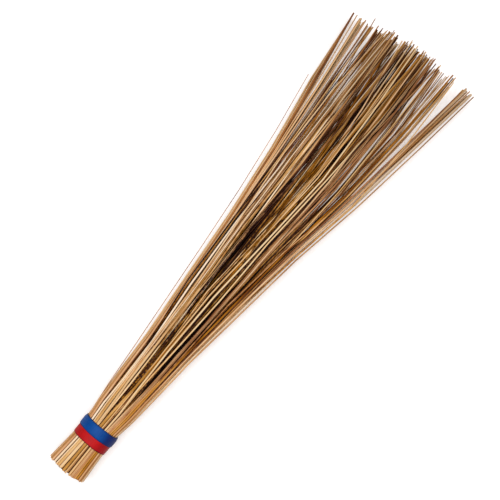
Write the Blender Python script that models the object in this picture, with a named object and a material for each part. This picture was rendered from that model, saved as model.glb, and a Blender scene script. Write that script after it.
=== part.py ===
# A hand broom of stripped palm-leaf midribs, called ekels, tied at the waist and taped over the tie.
# It lies on the floor: X runs from the sawn butt to the fan's tips, Y across the fan and Z up.
# The ekels are grown in sheaves. A sheaf is one body where the binding presses its ekels together,
# and the ekels part into separate sticks on both sides of that.
import math
import random
from collections import namedtuple

import bmesh
import bpy
from mathutils import Vector

# Lengths along the broom, from the sawn butt
broom_length = 0.800
stub_length = 0.051
neck_distance = 0.240

# Thickness of one ekel, and the room between one ekel and the next
ekel_butt_thickness = 0.0026
ekel_waist_thickness = 0.00268
ekel_neck_thickness = 0.0023
ekel_tip_thickness = 0.0012
butt_gap = 0.0005
neck_side_gap = 0.0019
neck_height_gap = 0.0009

# Fan
fan_half_width = 0.1135
fan_half_height = 0.050
floor_flat_depth = 0.0005

# Unevenness of a bundle made by hand
butt_unevenness = 0.0028
tip_unevenness = 0.046
outer_ekel_splay = 0.007
waist_unevenness_share = 0.16
stray_share = 0.45
sway_share = 0.15
sway_wave_shares = (0.5, 1.6)
flush_butt_share = 0.45
broken_ekel_share = 0.03
broken_length_shares = (0.35, 0.85)

# How far the fan's section slumps towards the floor at its sides
neck_slump_share = 0.2
fan_slump_share = 0.95
slump_square_share = 0.5
slump_fourth_share = 0.25

# Binding
tape_width = 0.018
tape_overlap = 0.0038
tape_wall = 0.0007
tape_layer = 0.00016
wire_diameter = 0.0009
wire_gap = 0.00055
wire_margin = 0.0025
waist_squeeze = 0.0005
fit = 0.0003

# Counts and angles
ring_names = ("core", "inner", "middle", "outer", "skin")
columns_in_sheaf = 6
rows_in_sheaf = 2
straight_rows = 3
sway_waves = 5
wire_points_per_turn = 24
tape_sides = 48
sway_turn = math.radians(57)
smooth_angle = math.radians(30)
free_end_angles = {"red_tape": math.radians(-115), "blue_tape": math.radians(-75)}
ekel_seed = 24

# Worked out from the sizes above
row_count = rows_in_sheaf * len(ring_names)
lowest_row_share = 1 - 1 / (2 * row_count)
bundle_front_radius = row_count * ekel_waist_thickness
bundle_rear_radius = bundle_front_radius + waist_squeeze
butt_radius = row_count * (ekel_butt_thickness + butt_gap)
band_rear = stub_length
band_front = band_rear + 2 * tape_width - tape_overlap
band_middle = (band_rear + band_front) / 2
wire_pitch = wire_diameter + wire_gap
wire_room = tape_width - tape_overlap - 2 * wire_margin - wire_diameter
wire_turns = int(wire_room / wire_pitch)
wire_path_offset = fit + wire_diameter / 2
wire_path_radius = (bundle_rear_radius + wire_path_offset) / math.cos(math.pi / wire_points_per_turn)
wire_outer_offset = wire_path_radius + wire_diameter / 2 - bundle_rear_radius
red_outer_offset = fit + tape_wall + tape_layer
blue_inner_offset = max(red_outer_offset, wire_outer_offset) + fit
band_inner_radius = (bundle_rear_radius + blue_inner_offset) / math.cos(math.pi / tape_sides)
band_radius = band_inner_radius + tape_wall + tape_layer
butt_height = butt_radius * lowest_row_share + ekel_butt_thickness / 2 - floor_flat_depth
axis_height = max(butt_height, band_radius + fit)
neck_half_width = row_count * (ekel_neck_thickness + neck_side_gap)
neck_half_height = row_count * (ekel_neck_thickness + neck_height_gap)
fan_height = fan_half_height * lowest_row_share + ekel_tip_thickness / 2 - floor_flat_depth
neck_along = (neck_distance - band_front) / (broom_length - band_front)
neck_height = axis_height + neck_along * (fan_height - axis_height)

# One cross-section of the whole bundle, at a distance from the butt
Section = namedtuple("Section", "distance thickness half_width half_height centre_height slump_share")
butt = Section(0, ekel_butt_thickness, butt_radius, butt_radius, axis_height, 0)
neck = Section(
    neck_distance,
    ekel_neck_thickness,
    neck_half_width,
    neck_half_height,
    neck_height,
    neck_slump_share,
)
tip = Section(
    broom_length,
    ekel_tip_thickness,
    fan_half_width,
    fan_half_height,
    fan_height,
    fan_slump_share,
)


def remove_scene_objects():
    for existing in list(bpy.data.objects):
        bpy.data.objects.remove(existing)


def plain_material(name, colour, roughness, metallic=0.0):
    material = bpy.data.materials.new(name)
    material.use_nodes = True
    material.diffuse_color = (*colour, 1.0)
    shader = material.node_tree.nodes["Principled BSDF"]
    shader.inputs["Base Color"].default_value = (*colour, 1.0)
    shader.inputs["Roughness"].default_value = roughness
    shader.inputs["Metallic"].default_value = metallic
    return material


def add_object(name, data, location):
    made = bpy.data.objects.new(name, data)
    made.location = location
    bpy.context.scene.collection.objects.link(made)
    return made


def add_mesh_object(name, mesh, location, material):
    bmesh.ops.recalc_face_normals(mesh, faces=mesh.faces)
    data = bpy.data.meshes.new(name)
    mesh.to_mesh(data)
    mesh.free()
    data.materials.append(material)
    return add_object(name, data, location)


def bundle_radius_at(distance):
    """Radius of the tied bundle under the binding, where the wire draws it in towards the front."""
    along = (distance - band_rear) / (band_front - band_rear)
    return bundle_rear_radius + along * (bundle_front_radius - bundle_rear_radius)


def slump(across):
    """How far the section drops at this share of its half width, as a share of its half height."""
    return slump_square_share * across**2 + slump_fourth_share * across**4


def place_in(section, across, up):
    """Where in a section an ekel lies, from its place in the unit circle of the waist."""
    y = section.half_width * across
    z = section.centre_height + section.half_height * (up - section.slump_share * slump(across))
    return Vector((section.distance, y, z))


def choose_sway(rng):
    """Long waves across the fan, each with a direction that it runs in and one that it pushes in."""
    waves = []
    for _ in range(sway_waves):
        heading = rng.uniform(0, math.pi)
        push = heading + rng.uniform(-sway_turn, sway_turn)
        waves.append((rng.uniform(*sway_wave_shares), heading, push, rng.uniform(0, 2 * math.pi)))
    return waves


def swayed(across, up, sway):
    """Draws the ekels' tips together in clumps. The waves are too gentle to make ekels cross."""
    moved = [across, up]
    strength = sway_share * (1 + up) / 2
    for wave_share, heading, push, phase in sway:
        turns = (across * math.cos(heading) + up * math.sin(heading)) / wave_share
        shift = strength * wave_share / (2 * math.pi) * math.sin(2 * math.pi * turns + phase)
        moved[0] += shift * math.cos(push)
        moved[1] += shift * math.sin(push)
    return moved


def stray_at_tip(rng):
    """A random shift that stays inside the room between one ekel's tip and the next."""
    room_across = tip.half_width / row_count - tip.thickness
    room_up = tip.half_height / row_count - tip.thickness
    across = rng.uniform(-1, 1) * stray_share * room_across / 2
    up = rng.uniform(-1, 1) * stray_share * room_up / 2
    return Vector((0, across, up))


def ekel_outline(centre, corners, thickness):
    """The ekel's corners about its centre: those of its cell at the waist, drawn in to its thickness.
    No ekel reaches deeper into the floor than the depth that is cut flat."""
    lowest = thickness / 2 - floor_flat_depth
    centre = Vector((centre.x, centre.y, max(centre.z, lowest)))
    return [centre + corner * (thickness / ekel_waist_thickness) for corner in corners]


def cut_flat_on_floor(mesh, floor_height):
    """Cuts off what reaches below the floor, and closes the ekels there with flat faces."""
    bmesh.ops.bisect_plane(
        mesh,
        geom=[*mesh.verts, *mesh.edges, *mesh.faces],
        plane_co=(0, 0, floor_height),
        plane_no=(0, 0, -1),
        clear_outer=True,
    )
    open_edges = [edge for edge in mesh.edges if edge.is_boundary]
    bmesh.ops.holes_fill(mesh, edges=open_edges)


def choose_length(root_distance, rng):
    """How much of the way from its root to the fan's end an ekel reaches."""
    full = broom_length - root_distance
    if rng.random() < broken_ekel_share:
        return rng.uniform(*broken_length_shares)
    return 1 - tip_unevenness * (rng.random() + rng.random()) / 2 / full


def add_sides(mesh, lower, upper):
    """A band of faces between two loops of as many corners."""
    for here in range(len(lower)):
        after = (here + 1) % len(lower)
        mesh.faces.new((lower[here], lower[after], upper[after], upper[here]))


def add_ekel(mesh, front_loop, rear_loop, origin, row_from_axis, sway, rng):
    """One ekel: a stub from the waist back to the sawn butt, and a stick forward to its tip."""
    roots = [vertex.co + origin for vertex in front_loop]
    root = sum(roots, Vector()) / len(roots)
    corners = [point - root for point in roots]
    across = root.y / bundle_front_radius
    up = (root.z - axis_height) / bundle_front_radius

    butt_centre = place_in(butt, across, up)
    if rng.random() > flush_butt_share:
        butt_centre.x += butt_unevenness * rng.random()
    stub = ekel_outline(butt_centre, corners, butt.thickness)
    stub_loop = [mesh.verts.new(point - origin) for point in stub]
    add_sides(mesh, rear_loop, stub_loop)
    mesh.faces.new(stub_loop)

    end = place_in(tip, *swayed(across, up, sway)) + stray_at_tip(rng)
    if row_from_axis == row_count - 1:
        outward = Vector((0, across, max(up, 0))).normalized()
        end += outward * outer_ekel_splay * rng.random() ** 2
    if row_from_axis < straight_rows:
        start = root
        start_thickness = ekel_waist_thickness
        start_loop = front_loop
    else:
        start = place_in(neck, across, up)
        start_thickness = neck.thickness
        bend = ekel_outline(start, corners, start_thickness)
        start_loop = [mesh.verts.new(point - origin) for point in bend]
        add_sides(mesh, front_loop, start_loop)
    reach = choose_length(start.x, rng)
    tip_centre = start.lerp(end, reach)
    tip_thickness = start_thickness + reach * (tip.thickness - start_thickness)
    last = ekel_outline(tip_centre, corners, tip_thickness)
    tip_loop = [mesh.verts.new(point - origin) for point in last]
    add_sides(mesh, start_loop, tip_loop)
    mesh.faces.new(tip_loop)


def choose_shifts(ring, rng):
    """Random shifts of a sheaf's cell corners, out from the axis and round it, as shares of a cell.
    The sheaf's own edges keep their line, so that it stays clear of its neighbours."""
    shifts = {}
    for row in range(rows_in_sheaf + 1):
        for column in range(columns_in_sheaf + 1):
            out = rng.uniform(-1, 1) * waist_unevenness_share
            turn = rng.uniform(-1, 1) * waist_unevenness_share
            if row in (0, rows_in_sheaf):
                out = 0
            if column in (0, columns_in_sheaf):
                turn = 0
            if ring == 0 and column == columns_in_sheaf:
                out = shifts[row, 0][0]
            shifts[row, column] = (out, turn)
    return shifts


def cell_corner(ring, row, column, sector_start, radius, shift):
    """A corner of an ekel's cell at the waist, as a point across the bundle's axis."""
    if ring == 0 and row == 0:
        return Vector((0, 0, 0))
    out, turn = shift
    step = 2 * math.pi / (columns_in_sheaf * (2 * ring + 1))
    reach = radius * (rows_in_sheaf * ring + row + out) / row_count
    angle = sector_start + (column + turn) * step
    if row == 0:
        widest_step = step * (1 + 2 * waist_unevenness_share)
        reach = (reach + fit / 2) / math.cos(widest_step / 2)
    if row == rows_in_sheaf and ring < len(ring_names) - 1:
        reach -= fit / 2
    if ring > 0 and column == 0:
        angle += math.asin(fit / 2 / reach)
    if ring > 0 and column == columns_in_sheaf:
        angle -= math.asin(fit / 2 / reach)
    return Vector((0, reach * math.cos(angle), reach * math.sin(angle)))


def add_cell_corners(mesh, ring, sector_start, distance, shifts, origin):
    """The sheaf's cell corners in one plane across the bundle, by row and column."""
    corners = {}
    for row in range(rows_in_sheaf + 1):
        for column in range(columns_in_sheaf + 1):
            if ring == 0 and row == 0 and column > 0:
                corners[row, column] = corners[0, 0]
                continue
            if ring == 0 and column == columns_in_sheaf:
                corners[row, column] = corners[row, 0]
                continue
            radius = bundle_radius_at(distance)
            across = cell_corner(ring, row, column, sector_start, radius, shifts[row, column])
            place = Vector((distance, 0, axis_height)) + across - origin
            corners[row, column] = mesh.verts.new(place)
    return corners


def cell_loop(corners, row, column):
    """The three or four different corners round one cell."""
    keys = ((row, column), (row + 1, column), (row + 1, column + 1), (row, column + 1))
    return list(dict.fromkeys(corners[key] for key in keys))


def sheaf_edges(ring):
    """Pairs of neighbouring cell corners along the outline of a sheaf."""
    columns = range(columns_in_sheaf)
    edges = [((rows_in_sheaf, column), (rows_in_sheaf, column + 1)) for column in columns]
    if ring > 0:
        edges += [((0, column), (0, column + 1)) for column in columns]
        for row in range(rows_in_sheaf):
            edges.append(((row, 0), (row + 1, 0)))
            edges.append(((row, columns_in_sheaf), (row + 1, columns_in_sheaf)))
    return edges


def add_sheaf(name, ring, sheaf, material, sway, rng):
    """A sheaf of ekels, one body where the binding presses it and separate sticks beyond."""
    origin = Vector((band_middle, 0, axis_height))
    sector = 2 * math.pi / (2 * ring + 1)
    sector_start = sector * (sheaf + ring / 2)
    shifts = choose_shifts(ring, rng)
    mesh = bmesh.new()
    front = add_cell_corners(mesh, ring, sector_start, band_front, shifts, origin)
    rear = add_cell_corners(mesh, ring, sector_start, band_rear, shifts, origin)
    for row in range(rows_in_sheaf):
        for column in range(columns_in_sheaf):
            front_loop = cell_loop(front, row, column)
            rear_loop = cell_loop(rear, row, column)
            row_from_axis = rows_in_sheaf * ring + row
            add_ekel(mesh, front_loop, rear_loop, origin, row_from_axis, sway, rng)
    for first, second in sheaf_edges(ring):
        mesh.faces.new((rear[first], rear[second], front[second], front[first]))
    cut_flat_on_floor(mesh, -axis_height)
    return add_mesh_object(name, mesh, origin, material)


def tape_column(name, rear, front, inner_offset, side):
    """Points across the tape's wall at one angle, by face and edge."""
    turned = side / tape_sides
    angle = free_end_angles[name] + 2 * math.pi * turned
    points = {}
    for edge, distance in (("rear", rear), ("front", front)):
        inner = (bundle_radius_at(distance) + inner_offset) / math.cos(math.pi / tape_sides)
        outer = inner + tape_wall + tape_layer * turned
        for face, radius in (("inner", inner), ("outer", outer)):
            points[face, edge] = Vector((distance, radius * math.cos(angle), radius * math.sin(angle)))
    return points


def add_tape(name, rear, front, inner_offset, material):
    """Turns of tape stuck to each other: a sleeve on which the last turn's free end makes a step."""
    centre = Vector(((rear + front) / 2, 0, 0))
    mesh = bmesh.new()
    columns = []
    for side in range(tape_sides + 1):
        points = tape_column(name, rear, front, inner_offset, side)
        column = {}
        for key, point in points.items():
            if side == tape_sides and key[0] == "inner":
                column[key] = columns[0][key]
            else:
                column[key] = mesh.verts.new(point - centre)
        columns.append(column)
    first, last = columns[0], columns[-1]
    for here, after in zip(columns, columns[1:]):
        for side in ("inner", "outer"):
            corners = (here[side, "rear"], after[side, "rear"], after[side, "front"], here[side, "front"])
            mesh.faces.new(corners)
        for edge in ("rear", "front"):
            corners = [here["inner", edge], here["outer", edge], after["outer", edge]]
            if after is last:
                corners.append(first["outer", edge])
            mesh.faces.new((*corners, after["inner", edge]))
    step = [last["outer", "rear"], last["outer", "front"], first["outer", "front"], first["outer", "rear"]]
    mesh.faces.new(step)
    tape = add_mesh_object(name, mesh, centre + Vector((0, 0, axis_height)), material)
    tape.data.shade_smooth()
    tape.data.set_sharp_from_angle(angle=smooth_angle)
    return tape


def wire_route():
    """Points of the tie wire's helix round the bundle, beside the red tape and under the blue one."""
    start = (band_rear + tape_width + band_front - wire_pitch * wire_turns) / 2
    points = []
    for index in range(wire_turns * wire_points_per_turn + 1):
        turned = index / wire_points_per_turn
        distance = start + wire_pitch * turned
        reach = (bundle_radius_at(distance) + wire_path_offset) / math.cos(math.pi / wire_points_per_turn)
        angle = 2 * math.pi * turned
        points.append(Vector((distance, reach * math.cos(angle), reach * math.sin(angle))))
    return points


def print_wire_gap(points):
    """Prints the least gap between two turns of the wire, measured between its points."""
    least = broom_length
    for index, point in enumerate(points):
        for other in points[index + wire_points_per_turn // 2 :]:
            least = min(least, (point - other).length)
    print(f"Least gap between turns of the tie wire: {(least - wire_diameter) * 1000:.2f} mm")


def add_wire(name, material):
    """The tie, one unbroken wire that ends at both sides of its winding."""
    points = wire_route()
    print_wire_gap(points)
    centre = Vector(((points[0].x + points[-1].x) / 2, 0, 0))
    curve = bpy.data.curves.new(name, "CURVE")
    curve.dimensions = "3D"
    curve.bevel_depth = wire_diameter / 2
    curve.bevel_resolution = 1
    curve.use_fill_caps = True
    spline = curve.splines.new("POLY")
    spline.points.add(len(points) - 1)
    for target, point in zip(spline.points, points):
        target.co = (*(point - centre), 1)
    curve.materials.append(material)
    return add_object(name, curve, centre + Vector((0, 0, axis_height)))


def centre_on_floor(pieces):
    """Hangs every piece on one empty, moved so that the middle of the broom's base is the origin."""
    bpy.context.view_layer.update()
    corners = [piece.matrix_world @ Vector(corner) for piece in pieces for corner in piece.bound_box]
    low = [min(corner[axis] for corner in corners) for axis in range(3)]
    high = [max(corner[axis] for corner in corners) for axis in range(3)]
    base = add_object("broom", None, (-(low[0] + high[0]) / 2, -(low[1] + high[1]) / 2, -low[2]))
    for piece in pieces:
        piece.parent = base


def build():
    remove_scene_objects()
    ekel_materials = [
        plain_material("ekel_straw", (0.60, 0.40, 0.19), 0.50),
        plain_material("ekel_tan", (0.47, 0.28, 0.11), 0.52),
        plain_material("ekel_brown", (0.30, 0.16, 0.06), 0.55),
    ]
    red_vinyl = plain_material("red_vinyl", (0.62, 0.01, 0.015), 0.35)
    blue_vinyl = plain_material("blue_vinyl", (0.005, 0.06, 0.33), 0.35)
    annealed_wire = plain_material("annealed_wire", (0.25, 0.24, 0.23), 0.45, metallic=1.0)

    rng = random.Random(ekel_seed)
    sway = choose_sway(rng)
    pieces = []
    for ring, ring_name in enumerate(ring_names):
        for sheaf in range(2 * ring + 1):
            name = f"ekel_sheaf_{ring_name}_{sheaf + 1}"
            material = ekel_materials[len(pieces) % len(ekel_materials)]
            pieces.append(add_sheaf(name, ring, sheaf, material, sway, rng))
    pieces.append(add_wire("tie_wire", annealed_wire))
    pieces.append(add_tape("red_tape", band_rear, band_rear + tape_width, fit, red_vinyl))
    pieces.append(add_tape("blue_tape", band_front - tape_width, band_front, blue_inner_offset, blue_vinyl))
    centre_on_floor(pieces)


build()
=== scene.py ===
import math
import random
from types import SimpleNamespace

import bmesh
import bpy
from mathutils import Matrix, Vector


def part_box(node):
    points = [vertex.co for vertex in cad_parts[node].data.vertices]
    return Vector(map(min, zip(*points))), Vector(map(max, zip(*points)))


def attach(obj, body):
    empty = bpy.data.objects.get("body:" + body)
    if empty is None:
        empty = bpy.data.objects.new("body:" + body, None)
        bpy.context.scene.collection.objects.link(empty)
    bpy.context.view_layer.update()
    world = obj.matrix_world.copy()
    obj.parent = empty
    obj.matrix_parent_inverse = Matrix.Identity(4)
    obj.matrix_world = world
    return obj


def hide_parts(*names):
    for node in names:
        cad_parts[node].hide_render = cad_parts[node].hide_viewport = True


# A hand broom of stripped palm-leaf ribs, called ekels, lying on a white floor.
# X runs from the sawn butt to the fan's tips, Y across the fan and Z up, all in metres.

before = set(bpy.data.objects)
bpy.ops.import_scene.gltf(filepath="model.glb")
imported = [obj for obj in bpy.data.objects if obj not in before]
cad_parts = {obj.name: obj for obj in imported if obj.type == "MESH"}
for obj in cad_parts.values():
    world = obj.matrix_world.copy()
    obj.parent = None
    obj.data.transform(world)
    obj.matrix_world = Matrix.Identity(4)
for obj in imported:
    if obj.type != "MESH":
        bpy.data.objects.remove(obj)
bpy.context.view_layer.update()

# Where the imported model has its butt, its axis and its two tapes
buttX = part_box("ekel_sheaf_core_1")[0].x
redLow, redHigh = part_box("red_tape")
blueLow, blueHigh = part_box("blue_tape")
axisY = (redLow.y + redHigh.y) / 2
axisZ = (redLow.z + redHigh.z) / 2
redRadius = (redHigh.z - redLow.z) / 2
blueRadius = (blueHigh.z - blueLow.z) / 2


def linearColor(hexText):
    # An sRGB hex colour as the linear values that shaders take
    parts = [int(hexText[i:i + 2], 16) / 255 for i in (1, 3, 5)]
    return (*[c / 12.92 if c <= 0.04045 else ((c + 0.055) / 1.055) ** 2.4 for c in parts], 1.0)


def feedNode(tree, node, inputs):
    # An input is a value, a socket, or a node whose first live output is meant
    for key, value in (inputs.items() if isinstance(inputs, dict) else enumerate(inputs)):
        if isinstance(value, bpy.types.Node):
            value = next(output for output in value.outputs if output.enabled)
        if isinstance(value, bpy.types.NodeSocket):
            tree.links.new(value, node.inputs[key])
        else:
            node.inputs[key].default_value = value


def addNode(tree, kind, inputs=(), operation=None, **settings):
    # Adds one node with its inputs, its operation if it has one, and any other settings
    node = tree.nodes.new(kind)
    for name, value in settings.items():
        setattr(node, name, value)
    if operation:
        node.operation = operation
    feedNode(tree, node, inputs)
    return node


def newMaterial(name):
    material = bpy.data.materials.new(name)
    material.use_nodes = True
    return material, material.node_tree, material.node_tree.nodes["Principled BSDF"]


def newPiece(name, mesh):
    piece = bpy.data.objects.new(name, mesh)
    bpy.context.scene.collection.objects.link(piece)
    return piece


ekelSizes = {
    "Seed": 7,
    "Rings": 5,  # of sheaves round the core
    "Rows": 3,  # of ekels in a sheaf, outwards
    "Columns": 4,
    "Sides": 6,  # of a stick
    # The bundle
    "Broom Length": 0.7975,  # from the sawn butt to the longest tip
    "Fan Half Width": 0.1105,
    "Fan Half Height": 0.0480,
    "Axis Height": axisZ,  # of the bundle at the waist
    "Fan Height": 0.0476,  # of the fan's middle at the tips
    "Half Width Limit": 0.1080,  # no ekel reaches past these two
    "Height Limit": 0.0990,
    "Soft Limit": 0.008,  # they turn away from them this early
    "Slump Square": 0.5,  # how the fan's sides sink, by the square and the fourth power of the place across
    "Slump Fourth": 0.25,
    "Right Bulge": 0.0058,  # the fan's right side bows outwards
    # Each ekel's thickness
    "Ekel Thickness": 0.0032,
    "Thickness Unevenness": 0.30,
    "Flatness": 0.84,  # an ekel is a little flat, where the leaf was stripped off it
    "Outer Thickness": 1.24,  # the thickest ekels are laid outside
    "Inner Thickness": 1.0,
    "Inner Butt Thickness": 1.22,  # the sawn thick ends fill the bundle
    "Inner Butt Reach": 0.15,  # a share of the broom's length
    "Outside From": 0.86,  # shares of the waist's radius between which inner ekels give way to outer ones
    "Outside To": 0.94,
    # Each ekel's ends
    "Place Unevenness": 0.30,
    "Length Unevenness": 0.009,
    "Length Together": 0.75,  # the ekels of a clump end close to each other
    "Length Rarity": 2.0,  # above 1, the shorter an ekel is, the rarer
    "Slant": 0.022,  # the fan's left side is shorter
    "Butt Inset": 0.0002,  # from the solids' butt, so that all stay inside them
    "Butt Unevenness": 0.0030,
    "Broken Share": 0.03,  # of the ekels
    "Broken Shortest": 0.35,  # what is left of a broken ekel, from this share to that
    "Broken Longest": 0.9,
    # Clumps, which are cells of the waist's circle
    "Gathering": 1.12,
    "Gather Cells": 3.2,  # how many clumps of ekels fit in half the bundle's width
    "Side Gathering": 0.35,  # the ekels at the fan's two sides gather less
    "Side From": 0.60,  # where a side begins, across the waist
    "Side Gather To": 0.85,
    "Loose Share": 0.13,  # of the ekels, these lie across the gaps between clumps
    "Inner Loose Share": 0.36,  # the inner ones close the gaps below, which so look black
    "Inner Loose To": 0.60,
    "Outer Loose From": 0.80,
    "Tip Gathering": 0.54,  # there the ekels lean on new neighbours
    "Tip Cells": 4.6,
    "Tip Scatter": 0.20,
    # How an ekel leaves its straight line
    "Crossing": 0.014,
    "Stray": 0.030,  # only a few stray so far
    "Stray Rarity": 7.0,  # odd, so that ekels stray to both sides
    "Belly": 0.0090,  # one bow from the binding to the tip
    "Swaying Together": 0.5,  # the ekels of a clump bow the same way, by this share
    "Weave": 0.0072,
    "Weave Waves": 1.3,  # along the broom
    "Side Freedom": 0.15,  # the ekels at the fan's two sides do all this less
    "Side Freedom To": 0.82,
    "Outlier": 284,  # the number of one thin ekel that lies beside the bundle, on its left
    "Outlier Distance": 0.0044,
    "Outlier Length": 0.86,
    "Outlier Thickness": 0.5,
    # Painted shade on the inner ekels, which makes the gaps between them dark, and each ekel's tone
    "Painted Shade Level": 0.0,  # painted shade: the ekels inside are darkened to this tone
    "Painted Shade At Waist": 0.80,  # at the waist the ekels within this share of the radius get the painted shade
    "Painted Shade In Fan": 0.45,  # and in the open fan those within this one
    "Painted Shade Start": 0.10,  # the shares of the broom's length between which it changes
    "Painted Shade End": 0.75,
    "Tone Together": 0.25,  # the ekels of a clump are alike in tone, by this share
}
tipCellShift = (7.3, 2.9, 0.0)  # the clumps at the tips are not those of the waist

# Each curve is read at a share of the broom's length, but for the first two
ekelCurves = {
    # Where along an ekel its rings of faces lie
    "along": [(0, 0), (0.1, 0.064), (0.2, 0.104), (0.3, 0.145), (0.4, 0.20), (0.5, 0.29), (0.6, 0.42),
              (0.7, 0.56), (0.8, 0.71), (0.9, 0.86), (1, 1)],
    # Place across the fan at the tips, by place across the waist, from the right side to the left
    "clump": [(0, 0.012), (0.066, 0.035), (0.067, 0.045), (0.097, 0.075), (0.098, 0.085), (0.109, 0.105),
              (0.110, 0.170), (0.172, 0.246), (0.173, 0.338), (0.5, 0.530), (0.849, 0.771),
              (0.850, 0.800), (0.869, 0.835), (0.870, 0.880), (0.929, 0.930), (0.930, 1.020), (1, 1.060)],
    # The bundle's half width and half height, as shares of the fan's
    "width": [(0, 0.284), (0.064, 0.250), (0.104, 0.246), (0.146, 0.286), (0.218, 0.314), (0.291, 0.342),
              (0.364, 0.398), (0.510, 0.500), (0.655, 0.622), (0.800, 0.765), (1, 0.985)],
    "height": [(0, 0.645), (0.064, 0.568), (0.104, 0.562), (0.30, 0.66), (1, 1)],
    # How much has set in of the fan's own height, its slump, its clumps and each way that an ekel bends
    "rise": [(0, 0), (0.104, 0), (1, 1)],
    "slump": [(0, 0), (0.104, 0), (0.30, 0.2), (1, 0.95)],
    "open": [(0, 0), (0.30, 0), (0.50, 0.08), (0.65, 0.24), (0.80, 0.52), (1, 1)],
    "gather": [(0, 0), (0.110, 0), (0.17, 0.38), (0.30, 0.74), (0.5, 0.72), (0.7, 0.56), (1, 0.30)],
    "tipGather": [(0, 0), (0.30, 0), (0.55, 0.30), (0.8, 0.75), (1, 1)],
    "cross": [(0, 0), (0.104, 0), (0.35, 0.45), (0.7, 0.8), (1, 1)],
    "weave": [(0, 0), (0.17, 0), (0.50, 0.9), (1, 1)],
    "outlier": [(0, 0), (0.104, 0), (0.25, 0.8), (0.35, 1), (1, 1)],
    "bulge": [(0, 0), (0.50, 0), (0.62, 0.35), (0.70, 0.90), (0.77, 1), (0.84, 0.70), (0.91, 0.40), (1, 0)],
    "belly": [(0, 0), (0.104, 0), (0.5, 1), (1, 0)],
    # An ekel's thickness, as a share of its own
    "thickness": [(0, 0.94), (0.064, 0.87), (0.104, 0.84), (0.30, 0.79), (0.7, 0.69), (1, 0.55)],
}
straightCurves = ("along", "clump", "rise", "slump")  # straight from point to point
stationCount = len(ekelCurves["along"])


def shapeCurve(node, name):
    # Puts the points of a Float Curve node where the curve of that name has them
    node.mapping.use_clip = False
    points = node.mapping.curves[0].points
    while len(points) < len(ekelCurves[name]):
        points.new(0.5, 0.5)
    for point, pair in zip(points, ekelCurves[name]):
        point.location = pair
        point.handle_type = "VECTOR" if name in straightCurves else "AUTO"
    node.mapping.update()
    return node


# The tree works for every station of every ekel at once. Each function below adds to "ekel" what it
# has worked out, and "size" holds the tree's named inputs.


def numberEkels(tree, size, ekel):
    # Which ekel of the sheaf a point belongs to, and which of its stations it is
    index = addNode(tree, "GeometryNodeInputIndex")
    ekel.ofSheaf = addNode(tree, "FunctionNodeIntegerMath", [index, stationCount], "DIVIDE_FLOOR")
    ekel.station = addNode(tree, "FunctionNodeIntegerMath", [index, stationCount], "MODULO")
    ekel.row = addNode(tree, "FunctionNodeIntegerMath", [ekel.ofSheaf, size["Columns"]], "DIVIDE_FLOOR")
    ekel.column = addNode(tree, "FunctionNodeIntegerMath", [ekel.ofSheaf, size["Columns"]], "MODULO")
    ekel.number = addNode(tree, "FunctionNodeIntegerMath", [ekel.ofSheaf, size["First Ekel"]], "ADD")
    ekel.isOutlier = addNode(tree, "ShaderNodeMath", [ekel.number, size["Outlier"], 0.5], "COMPARE")


def drawLuck(tree, size, ekel):
    # Four draws of luck for each ekel, three numbers in each
    thrown = []
    for draw, low in enumerate((-1, -1, 0, 0)):
        seed = addNode(tree, "FunctionNodeIntegerMath", [size["Seed"], draw], "ADD")
        values = {0: (low,) * 3, 1: (1, 1, 1), 7: ekel.number, 8: seed}
        thrown.append(addNode(tree, "FunctionNodeRandomValue", values, data_type="FLOAT_VECTOR"))
    luck = [addNode(tree, "ShaderNodeSeparateXYZ", [throw]).outputs for throw in thrown]
    ekel.placeLuck, ekel.bendLuck, ekel.growthLuck, ekel.toneLuck = luck
    ekel.thrownBend = thrown[1]


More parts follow.
